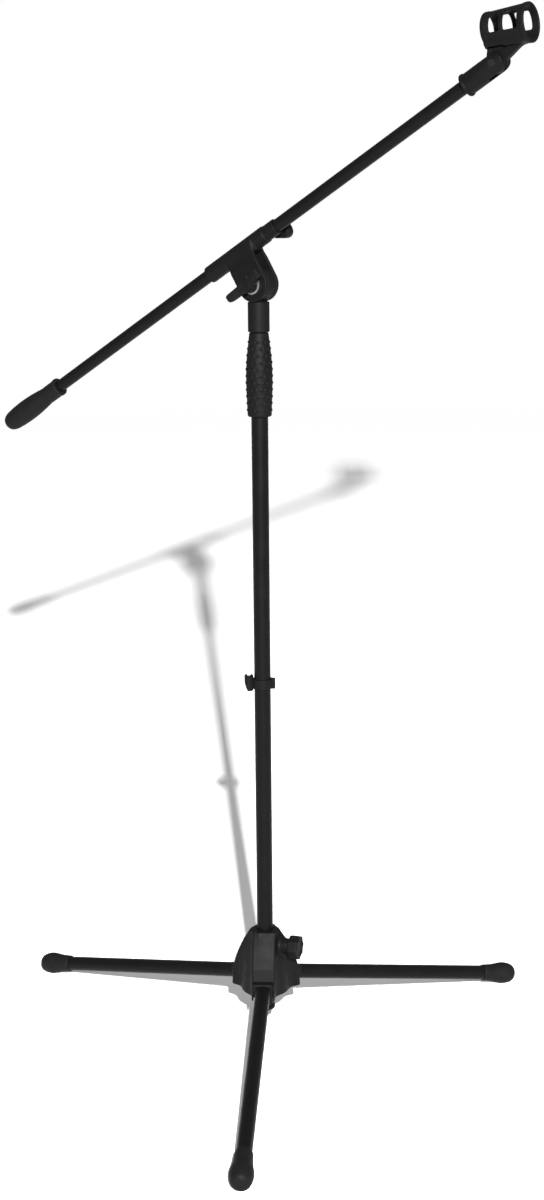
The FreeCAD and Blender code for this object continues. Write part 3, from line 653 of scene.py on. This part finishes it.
@dataclass(frozen=True)
class Leg:
    """One leg: hinge knuckle and rubber foot on a round tube."""

    hinge: float = 25.57
    half_width: float = 12.0
    half_height: float = 10.0
    knuckle_end: float = 45.0
    pin_bore: float = 3.06
    foot: tuple = ((331.0, 9.25), (331.2, 10.0), (332.0, 10.6), (345.0, 11.3), (354.0, 12.6),
                   (360.0, 13.8), (364.0, 14.0), (367.5, 13.9), (373.0, 12.9), (377.0, 11.4),
                   (379.6, 9.2), (381.0, 6.0), (381.0, 0.4))

    def knuckle(self, points: np.ndarray) -> np.ndarray:
        """Distance field of the hinge knuckle.

        Args:
            points: Places to measure.

        Returns:
            Their distances.
        """
        eye = bar(points, self.half_height, -self.half_width, self.half_width, 1,
                  (self.hinge, 0.0, 0.0), 0.8)
        arm = slab(points, (self.hinge, -self.half_width, -self.half_height),
                   (self.knuckle_end, self.half_width, self.half_height), 2.2)
        body = blend_in(eye, arm, 0.5)
        return carve(body, bar(points, self.pin_bore, -20.0, 20.0, 1, (self.hinge, 0.0, 0.0)))

    def build(self, palette: Palette, side: str, bearing: float) -> None:
        """Adds the knuckle and the foot of one leg.

        Args:
            palette: The stand's materials.
            side: The leg's name.
            bearing: Its bearing in degrees.
        """
        place = LAYOUT.leg(bearing)
        body = f"leg_{side}"
        palette.solid(f"knuckle_{side}", place, self.knuckle, (14, -14, -12), (52, 14, 12), 0.6,
                      Slot.MOULDING, body, f"leg_knuckle_{side}")
        vertices, faces = turned_surface(finely(self.foot, 0.8), 72)
        placed = place.out(vertices)
        placed[:, 2] = np.maximum(placed[:, 2], 0.0)
        add_piece(f"foot_{side}", placed, faces, palette.materials[Slot.RUBBER], body,
                  (f"rubber_foot_{side}",))


@dataclass(frozen=True)
class CableClip:
    """The snap-on cable clip: a band round the column, a hook to its left, a lobe to its right."""

    bore: float = 10.08
    outer: float = 12.3
    half_height: float = 6.0
    hook_at: float = -16.8
    hook_radius: float = 5.6
    hook_bore: float = 3.1
    hook_span: tuple = (-9.5, 10.5)
    hook_flat: float = 22.4
    hook_lean: float = 0.42
    mouth_half: float = 2.3

    def shape(self, points: np.ndarray) -> np.ndarray:
        """Distance field of the clip about its own middle.

        Args:
            points: Places to measure.

        Returns:
            Their distances.
        """
        band = bar(points, self.outer, -self.half_height, self.half_height, 2, rounding=0.8)
        lobe = slab(points, (6.0, -2.6, -6.6), (15.6, 2.6, 6.6), 1.0)
        hook = bar(points, self.hook_radius, *self.hook_span, 2, (self.hook_at, 0.0, 0.0), 1.5)
        taper = (-points[:, 0] - self.hook_flat
                 - self.hook_lean * np.minimum(points[:, 2] - 1.0, 0.0)) * 0.92
        hook = keep_in(hook, taper, 1.2)
        neck = slab(points, (-16.0, -2.5, -5.6), (-9.0, 2.5, 5.6), 0.8)
        body = blend_in(blend_in(band, lobe, 1.2), blend_in(hook, neck, 1.5), 1.5)
        body = carve(body, length_of(points[:, 0], points[:, 1]) - self.bore, 0.3)
        body = carve(body, slab(points, (-6.5, 4.0, -30.0), (6.5, 40.0, 30.0)), 0.8)
        inside = length_of(points[:, 0] - self.hook_at, points[:, 1]) - self.hook_bore
        body = carve(body, inside, 0.4)
        gap = slab(points, (self.hook_at - self.mouth_half, 0.0, -30.0),
                   (self.hook_at + self.mouth_half, 40.0, 30.0))
        return carve(body, gap, 0.4)

    def build(self, palette: Palette) -> None:
        """Adds the clip."""
        palette.solid("cable_clip_shape", Place((0.0, 0.0, LAYOUT.clip_height)), self.shape,
                      (-24, -14, -12), (18, 14, 12), 0.45, Slot.MOULDING, "cable_clip",
                      "cable_clip")


@dataclass(frozen=True)
class ClutchGrip:
    """The height clutch's grip: a swelling sleeve covered with staggered studs."""

    outside: tuple = ((794.5, 13.2), (795.4, 14.2), (798.0, 14.35), (808.0, 14.7), (822.0, 15.3),
                      (834.0, 15.6), (848.0, 15.5), (858.0, 15.0), (868.0, 14.1), (880.0, 12.7),
                      (888.0, 11.8), (891.6, 11.4), (892.5, 10.8))
    inside: tuple = ((892.5, 8.4), (878.0, 8.4), (864.0, 12.3), (794.5, 12.3))
    columns: int = 16
    row_pitch: float = 8.0
    first_row: float = 802.0
    last_row: float = 884.0
    stud_radius: float = 1.9
    stud_height: float = 0.75
    stud_swell: float = 1.3
    skin: float = 12.35

    def studs(self, along: np.ndarray, radius: np.ndarray, angle: np.ndarray) -> np.ndarray:
        """Stud height at each place: round bumps on a grid whose every other row is offset.

        Args:
            along: Height on the grip.
            radius: Distance from its axis.
            angle: Angle about it.

        Returns:
            The stud height.
        """
        row = np.round((along - self.first_row) / self.row_pitch)
        up = along - self.first_row - row * self.row_pitch
        column = angle / (2 * math.pi) * self.columns + 0.5 * (row % 2)
        side = (column - np.round(column)) * 2 * math.pi / self.columns * radius
        distance = length_of(up, side) / self.stud_radius
        bump = np.clip(self.stud_swell - self.stud_swell * distance ** 2, 0.0, 1.0)
        covered = (along > self.first_row - 3) & (along < self.last_row)
        covered = covered & (radius > self.skin)
        return self.stud_height * bump * covered

    def build(self, palette: Palette) -> None:
        """Adds the grip."""
        profile = np.concatenate([finely(self.outside, 0.5), np.asarray(self.inside, float)])
        vertices, faces = turned_surface(profile, 240, ring=True, push=self.studs)
        palette.piece("clutch_grip_sleeve", Place((0.0, 0.0, 0.0), UPWARD), vertices, faces,
                      Slot.MOULDING, "clutch", "clutch_grip")


@dataclass(frozen=True)
class SwivelBase:
    """The swivel base: a smooth collar under a round knuckle with a ribbed rim."""

    collar: float = 12.7
    bottom: float = -54.7
    collar_top: float = -20.0
    knuckle: float = 20.0
    half_width: float = 7.5
    ribs: int = 44
    rib_depth: float = 0.35
    bolt_bore: float = 4.06
    thread_bore: float = 7.0
    thread_top: float = -32.7

    def shape(self, points: np.ndarray) -> np.ndarray:
        """Distance field about the pivot bolt.

        Args:
            points: Places to measure.

        Returns:
            Their distances.
        """
        collar = bar(points, self.collar, self.bottom, self.collar_top, 2, rounding=0.9)
        angle = np.arctan2(points[:, 2], points[:, 0])
        rim = self.knuckle - self.rib_depth * (0.5 + 0.5 * np.cos(self.ribs * angle))
        disc = keep_in(length_of(points[:, 0], points[:, 2]) - rim,
                       np.abs(points[:, 1]) - self.half_width, 0.8)
        body = blend_in(collar, disc, 3.0)
        cheeks = np.minimum(np.abs(points[:, 1]) - self.half_width,
                            points[:, 2] - self.collar_top)
        body = np.maximum(body, cheeks)
        body = carve(body, bar(points, self.bolt_bore, -30.0, 30.0, 1))
        return carve(body, bar(points, self.thread_bore, -60.0, self.thread_top, 2))

    def build(self, palette: Palette) -> None:
        """Adds the swivel base."""
        palette.solid("swivel_base_shape", LAYOUT.head(), self.shape, (-22, -14, -57),
                      (22, 14, 22), 0.5, Slot.MOULDING, "swivel", "swivel_base")


@dataclass(frozen=True)
class BoomClamp:
    """The boom clamp: a sleeve round the boom over two ears that straddle the knuckle."""

    sleeve: float = 10.2
    back: float = -54.5
    front: float = 40.0
    neck: float = 9.2
    neck_end: float = 57.0
    ear_inner: float = 8.6
    ear_outer: float = 13.5
    ear_radius: float = 20.0
    saddle: float = 33.0
    lock_at: float = 50.0
    taper: float = 3.1
    taper_start: float = 24.0
    taper_run: float = 18.0
    lock_boss: float = 6.5
    pivot_face: float = 14.2
    bore: float = 7.55
    bolt_bore: float = 4.0
    screw_bore: float = 3.1

    def shape(self, points: np.ndarray) -> np.ndarray:
        """Distance field about the pivot bolt, along the boom.

        Args:
            points: Places to measure.

        Returns:
            Their distances.
        """
        axis = (0.0, 0.0, LAYOUT.boom_offset)
        sleeve = bar(points, self.sleeve, self.back, self.front, 0, axis, 1.4)
        neck = bar(points, self.neck, self.front - 5.0, self.neck_end, 0, axis, 0.8)
        side = np.abs(points[:, 0])
        low = np.minimum(points[:, 2], 0.0)
        outline = length_of(side, low) - self.ear_radius
        outline = np.maximum(outline, points[:, 2] - LAYOUT.boom_offset)
        thin = self.taper * np.clip((points[:, 2] - self.taper_start) / self.taper_run,
                                    0.0, 1.0)
        ears = keep_in(outline, np.abs(points[:, 1]) - self.ear_outer + thin, 1.5)
        body = blend_in(sleeve, ears, 7.0)
        body = blend_in(body, neck, 1.0)
        lock = (self.lock_at, 0.0, LAYOUT.boom_offset)
        boss = bar(points, self.lock_boss, 0.0, 13.0, 1, lock, 0.6)
        body = blend_in(body, boss, 2.0)
        raised = bar(points, self.pivot_face, self.ear_outer - 2.0, self.ear_outer, 1,
                     rounding=0.3)
        body = blend_in(body, raised, 0.6)
        gap = slab(points, (-40.0, -self.ear_inner, -40.0), (40.0, self.ear_inner, self.saddle))
        body = carve(body, gap, 1.0)
        bore = length_of(points[:, 1], points[:, 2] - LAYOUT.boom_offset) - self.bore
        body = carve(body, bore, 0.3)
        body = carve(body, bar(points, self.bolt_bore, -30.0, 30.0, 1))
        return carve(body, bar(points, self.screw_bore, 0.0, 30.0, 1, lock))

    def build(self, palette: Palette) -> None:
        """Adds the clamp."""
        palette.solid("boom_clamp_shape", LAYOUT.boom(), self.shape, (-57, -16, -22),
                      (59, 16, 56), 0.6, Slot.MOULDING, "boom_head", "boom_clamp")


@dataclass(frozen=True)
class WingKnob:
    """The pivot's wing knob about local +X: a hub with two flared wings along local Y."""

    hub: float = 8.0
    depth: float = 15.0
    reach: float = 27.0
    start: float = 15.1
    turn: float = 188.0
    hub_flare: float = 1.2
    wing_lean: float = 0.34
    wing_height: float = 6.6
    wing_width: float = 5.2
    bolt_bore: float = 4.06
    bolt_depth: float = 12.2

    def shape(self, points: np.ndarray) -> np.ndarray:
        """Distance field of the knob.

        Args:
            points: Places to measure.

        Returns:
            Their distances.
        """
        out = np.abs(points[:, 1])
        flare = np.clip((points[:, 0] - 1.0) / 5.0, 0.0, 1.0)
        hub = bar(points, self.hub + self.hub_flare * (1.0 - flare), 0.0, self.depth,
                  rounding=1.2)
        lift = points[:, 0] - (7.0 + self.wing_lean * out)
        height = np.abs(lift) - (self.wing_height - 0.05 * out)
        width = np.abs(points[:, 2]) - (self.wing_width - 0.02 * out)
        wings = keep_in(keep_in(out - self.reach, height, 5.0), width, 2.8)
        body = blend_in(hub, wings * 0.9, 3.0)
        return carve(body, bar(points, self.bolt_bore, -1.0, self.bolt_depth))

    def build(self, palette: Palette) -> None:
        """Adds the knob on the near side of the clamp."""
        toward_viewer = turn_z(-90.0)
        spin = self.turn
        c, s = math.cos(math.radians(spin)), math.sin(math.radians(spin))
        about_x = np.array([[1.0, 0.0, 0.0], [0.0, c, -s], [0.0, s, c]])
        place = LAYOUT.boom().shifted(y=-self.start, turn=toward_viewer @ about_x)
        palette.solid("wing_knob_shape", place, self.shape, (-1.5, -29, -11), (24, 29, 11), 0.45,
                      Slot.MOULDING, "wing_knob", "pivot_wing_knob")


@dataclass(frozen=True)
class BoomGrip:
    """The soft grip at the boom's back end."""

    outline: tuple = ((-437.5, 0.4), (-437.5, 4.5), (-436.6, 7.4), (-434.6, 9.6), (-431.0, 11.3),
                      (-426.0, 12.4), (-416.0, 13.3), (-404.0, 13.8), (-392.0, 13.7),
                      (-380.0, 13.1), (-370.0, 12.1), (-362.0, 11.2), (-357.0, 10.9),
                      (-356.0, 11.0), (-338.0, 11.1), (-337.0, 11.7), (-334.0, 11.8),
                      (-333.0, 11.2), (-333.0, 7.6))

    def build(self, palette: Palette) -> None:
        """Adds the grip."""
        vertices, faces = turned_surface(finely(self.outline, 0.6), 96)
        palette.piece("boom_grip_sleeve", LAYOUT.boom_axis(), vertices, faces, Slot.RUBBER,
                      "boom", "boom_grip")


@dataclass(frozen=True)
class ClipAdapter:
    """The forked swivel adapter on the boom's front end."""

    back: float = 339.0
    radius: float = 11.8
    flange: float = 13.0
    slot_half: float = 4.2
    slot_start: float = 366.0
    head: float = 4.2
    sunk: float = 8.4
    boom_bore: float = 7.56
    boom_end: float = 352.4
    thread_bore: float = 7.0
    thread_end: float = 364.0
    screw_bore: float = 2.5

    def shape(self, points: np.ndarray) -> np.ndarray:
        """Distance field along the boom's axis.

        Args:
            points: Places to measure.

        Returns:
            Their distances.
        """
        hinge = LAYOUT.hinge_at
        barrel = bar(points, self.radius, self.back, hinge + self.radius + 1.0, rounding=0.8)
        tip = length_of(points[:, 0] - hinge, points[:, 2]) - self.radius
        end = np.where(points[:, 0] > hinge, tip, -1.0)
        body = keep_in(barrel, end, 1.2)
        body = blend_in(body, bar(points, self.flange, self.back, self.back + 3.0,
                                  rounding=0.8), 0.8)
        slot = slab(points, (self.slot_start, -self.slot_half, -30.0),
                    (420.0, self.slot_half, 30.0))
        body = carve(body, slot, 0.6)
        body = carve(body, bar(points, self.boom_bore, 330.0, self.boom_end))
        body = carve(body, bar(points, self.thread_bore, 350.0, self.thread_end))
        for start, end in ((-30.0, -self.sunk), (self.sunk, 30.0)):
            body = carve(body, bar(points, self.head + 0.1, start, end, 1, (hinge, 0.0, 0.0)), 0.3)
        return carve(body, bar(points, self.screw_bore, -30.0, 30.0, 1, (hinge, 0.0, 0.0)))

    def build(self, palette: Palette) -> None:
        """Adds the adapter."""
        palette.solid("clip_adapter_shape", LAYOUT.boom_axis(), self.shape, (337, -15, -15),
                      (394, 15, 15), 0.5, Slot.MOULDING, "adapter", "clip_adapter")


@dataclass(frozen=True)
class MicrophoneClip:
    """The microphone clip: a flaring ring with side windows on a neck over its hinge tongue."""

    height: float = 34.8
    back: float = -7.6
    front: float = 43.4
    back_radius: float = 18.0
    front_radius: float = 20.7
    bore: float = 14.5
    straight: float = 9.4
    mouth: float = 17.2
    back_rim: float = 9.3
    front_rim: float = 8.0
    back_window: float = 12.2
    bar_width: float = 4.4
    window_low: float = -5.0
    window_high: float = 13.5
    neck_heights: tuple = (0.0, 1.8, 5.8, 10.8, 16.8, 20.0)
    neck_fronts: tuple = (10.5, 13.5, 19.5, 26.5, 35.5, 38.0)
    neck_backs: tuple = (10.5, 10.2, 9.5, 8.6, 7.1, 6.8)
    tongue_half: float = 3.9
    tongue_radius: float = 10.5
    waist: float = 0.6
    waist_start: float = 4.5
    saddle_half: float = 9.0
    saddle_level: float = 15.2
    saddle_drop: float = 16.0
    pocket_low: tuple = (-4.0, -20.0, 12.6)
    pocket_high: tuple = (14.0, 20.0, 16.6)
    web_half: float = 3.4
    screw_bore: float = 2.56

    def ring(self, along: np.ndarray, radius: np.ndarray) -> np.ndarray:
        """The flaring shell with eased rims.

        Args:
            along: Place along the ring.
            radius: Distance from its axis.

        Returns:
            Their distances.
        """
        ends = np.abs(along - (self.back + self.front) / 2) - (self.front - self.back) / 2
        share = np.clip((along - self.back) / (self.front - self.back), 0.0, 1.0)
        outer = self.back_radius + (self.front_radius - self.back_radius) * share
        edge = np.minimum(along - self.back, self.front - along)
        waist = self.waist * np.clip((edge - self.waist_start) / 2.0, 0.0, 1.0)
        return keep_in(radius - outer + waist, ends, 1.4)

    def neck(self, points: np.ndarray) -> np.ndarray:
        """The tongue and the wider saddle that carries the ring.

        Args:
            points: Places to measure.

        Returns:
            Their distances.
        """
        along, level = points[:, 0], points[:, 2]
        front = (along - np.interp(level, self.neck_heights, self.neck_fronts)) * 0.75
        back = -along - np.interp(level, self.neck_heights, self.neck_backs)
        half = np.where(level > self.saddle_level, self.saddle_half, self.tongue_half)
        sides = np.abs(points[:, 1]) - half
        outline = np.maximum.reduce([front, back, -level,
                                     level - self.height + self.saddle_drop])
        return keep_in(outline, sides, 1.0)

    def windows(self, points: np.ndarray, up: np.ndarray) -> np.ndarray:
        """The two pairs of side windows, with a bar between them.

        Args:
            points: Places to measure.
            up: Height above the ring's axis.

        Returns:
            Their distances.
        """
        along = points[:, 0]
        back_start = self.back + self.back_rim
        front_start = back_start + self.back_window + self.bar_width
        both = np.full(len(points), 1e3)
        for start, end in ((back_start, back_start + self.back_window),
                           (front_start, self.front - self.front_rim)):
            across = np.abs(along - (start + end) / 2) - (end - start) / 2
            height = np.abs(up - (self.window_low + self.window_high) / 2)
            opening = keep_in(across, height - (self.window_high - self.window_low) / 2, 2.2)
            both = np.minimum(both, np.maximum(opening, 5.0 - np.abs(points[:, 1])))
        return both

    def shape(self, points: np.ndarray) -> np.ndarray:
        """Distance field about the hinge, along the ring.

        Args:
            points: Places to measure.

        Returns:
            Their distances.
        """
        along = points[:, 0]
        up = points[:, 2] - self.height
        radius = length_of(points[:, 1], up)
        eye = bar(points, self.tongue_radius, -self.tongue_half, self.tongue_half, 1,
                  rounding=0.6)
        body = blend_in(self.ring(along, radius), self.neck(points), 4.0)
        body = blend_in(body, eye, 0.5)
        flare = (self.mouth - self.bore) / (self.front - self.straight)
        bore = self.bore + flare * np.maximum(along - self.straight, 0.0)
        body = carve(body, radius - bore, 0.8)
        body = carve(body, self.windows(points, up), 1.2)
        pocket = np.maximum(slab(points, self.pocket_low, self.pocket_high, 0.8),
                            self.web_half - np.abs(points[:, 1]))
        body = carve(body, pocket, 0.5)
        return carve(body, bar(points, self.screw_bore, -30.0, 30.0, 1))

    def build(self, palette: Palette) -> None:
        """Adds the clip."""
        palette.solid("mic_clip_shape", LAYOUT.holder(), self.shape, (-13, -22, -13),
                      (46, 22, 57), 0.5, Slot.MOULDING, "clip", "mic_clip")


# Studio ------------------------------

@dataclass(frozen=True)
class Lamp:
    """A square soft light that faces a target; an even one doesn't weaken with distance."""

    name: str
    place: tuple
    target: tuple
    size: float
    power: float
    even: bool = False

    def build(self) -> None:
        """Adds the light."""
        lamp = bpy.data.lights.new(self.name, "AREA")
        lamp.size = self.size
        lamp.energy = self.power
        if self.even:
            lamp.use_nodes = True
            falloff = lamp.node_tree.nodes.new("ShaderNodeLightFalloff")
            falloff.inputs["Strength"].default_value = 1.0
            lamp.node_tree.links.new(falloff.outputs["Constant"],
                                     lamp.node_tree.nodes["Emission"].inputs["Strength"])
        holder = bpy.data.objects.new(self.name, lamp)
        bpy.context.scene.collection.objects.link(holder)
        holder.location = self.place
        aim = Vector(self.target) - Vector(self.place)
        holder.rotation_euler = aim.to_track_quat("-Z", "Y").to_euler()


@dataclass(frozen=True)
class Studio:
    """Pale floor, soft lights and the camera."""

    eye: tuple = (0.1688, -2.1131, 1.0549)
    bearing: float = 94.229
    pitch: float = -12.838
    roll: float = -0.52
    focal_share: float = 1.5
    surround: float = 0.44
    floor_solid: float = 5.0
    floor_gone: float = 7.0
    floor_half: float = 12.0
    floor_tone: float = 0.8
    sensor: float = 24.0
    lamps: tuple = (
        Lamp("key", (0.464, -3.297, 2.003), (0.0, 0.0, 0.6), 0.07, 38.0, even=True),
        Lamp("soft_right", (2.4, -1.4, 2.6), (0.0, 0.0, 0.7), 1.6, 18.0),
    )

    def camera(self) -> None:
        """Adds the camera and makes it the scene's."""
        scene = bpy.context.scene
        lens = bpy.data.cameras.new("camera")
        lens.sensor_fit = "VERTICAL"
        lens.sensor_height = self.sensor
        lens.lens = self.sensor * self.focal_share
        lens.clip_start = 0.01
        lens.clip_end = 100.0
        holder = bpy.data.objects.new("camera", lens)
        scene.collection.objects.link(holder)
        holder.matrix_world = (
            Matrix.Translation(Vector(self.eye))
            @ Matrix.Rotation(math.radians(self.bearing - 90.0), 4, "Z")
            @ Matrix.Rotation(math.radians(90.0 + self.pitch), 4, "X")
            @ Matrix.Rotation(math.radians(self.roll), 4, "Z")
        )
        scene.camera = holder

    def floor(self) -> None:
        """A large plain pale floor that thins out far from the stand, where the surround shows."""
        size = self.floor_half
        mesh = bpy.data.meshes.new("floor")
        mesh.from_pydata([(-size, -size, 0), (size, -size, 0), (size, size, 0), (-size, size, 0)],
                         [], [(0, 1, 2, 3)])
        material = bpy.data.materials.new("floor")
        material.use_nodes = True
        nodes, links = material.node_tree.nodes, material.node_tree.links
        shader = nodes["Principled BSDF"]
        shader.inputs["Base Color"].default_value = (*(self.floor_tone,) * 3, 1.0)
        shader.inputs["Roughness"].default_value = 0.9
        shader.inputs["Specular IOR Level"].default_value = 0.0
        place = nodes.new("ShaderNodeTexCoord")
        distance = nodes.new("ShaderNodeVectorMath")
        distance.operation = "LENGTH"
        fade = nodes.new("ShaderNodeMapRange")
        fade.interpolation_type = "SMOOTHSTEP"
        fade.inputs["From Min"].default_value = self.floor_solid
        fade.inputs["From Max"].default_value = self.floor_gone
        clear = nodes.new("ShaderNodeBsdfTransparent")
        mix = nodes.new("ShaderNodeMixShader")
        links.new(place.outputs["Object"], distance.inputs[0])
        links.new(distance.outputs["Value"], fade.inputs["Value"])
        links.new(fade.outputs["Result"], mix.inputs["Fac"])
        links.new(shader.outputs["BSDF"], mix.inputs[1])
        links.new(clear.outputs["BSDF"], mix.inputs[2])
        links.new(mix.outputs["Shader"], nodes["Material Output"].inputs["Surface"])
        mesh.materials.append(material)
        floor = bpy.data.objects.new("floor", mesh)
        bpy.context.scene.collection.objects.link(floor)

    def world(self) -> None:
        """A white surround that lights the stand more gently than it looks."""
        world = bpy.data.worlds.new("studio")
        world.use_nodes = True
        nodes, links = world.node_tree.nodes, world.node_tree.links
        background = nodes["Background"]
        background.inputs["Color"].default_value = (1.0, 1.0, 1.0, 1.0)
        ray = nodes.new("ShaderNodeLightPath")
        strength = nodes.new("ShaderNodeMapRange")
        strength.inputs["To Min"].default_value = self.surround
        strength.inputs["To Max"].default_value = 1.0
        links.new(ray.outputs["Is Camera Ray"], strength.inputs["Value"])
        links.new(strength.outputs["Result"], background.inputs["Strength"])
        bpy.context.scene.world = world
        bpy.context.scene.view_settings.view_transform = "Standard"

    def build(self) -> None:
        """Adds the floor, the lights and the camera."""
        self.floor()
        self.world()
        for lamp in self.lamps:
            lamp.build()
        self.camera()


def main() -> None:
    """Builds the stand's looks and its studio."""
    logging.basicConfig(level=logging.INFO, format="%(message)s")
    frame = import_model()
    palette = Palette(FINISHES)
    palette.dress(frame)
    LegHousing().build(palette)
    lock = Place((0.0, 0.0, LAYOUT.lock_height), turn_z(LAYOUT.lock_bearing))
    LobedKnob(radius=15.4, wave=0.9, lobes=8, start=32.8, depth=14.0, screw=4.0,
              screw_depth=40.9).build(palette, "lock_knob_shape", lock, "housing_lock",
                                      "lock_knob")
    for side, bearing in LAYOUT.leg_bearings:
        Leg().build(palette, side, bearing)
    CableClip().build(palette)
    ClutchGrip().build(palette)
    SwivelBase().build(palette)
    BoomClamp().build(palette)
    WingKnob().build(palette)
    far_side = LAYOUT.boom_axis().shifted(x=BoomClamp().lock_at, turn=turn_z(90.0))
    LobedKnob(radius=14.0, wave=1.6, lobes=3, start=13.3, depth=12.0, screw=3.0,
              screw_depth=20.5).build(palette, "boom_lock_knob_shape", far_side, "boom_lock",
                                      "boom_lock_knob")
    BoomGrip().build(palette)
    ClipAdapter().build(palette)
    MicrophoneClip().build(palette)
    Studio().build()


if __name__ == "__main__":
    main()
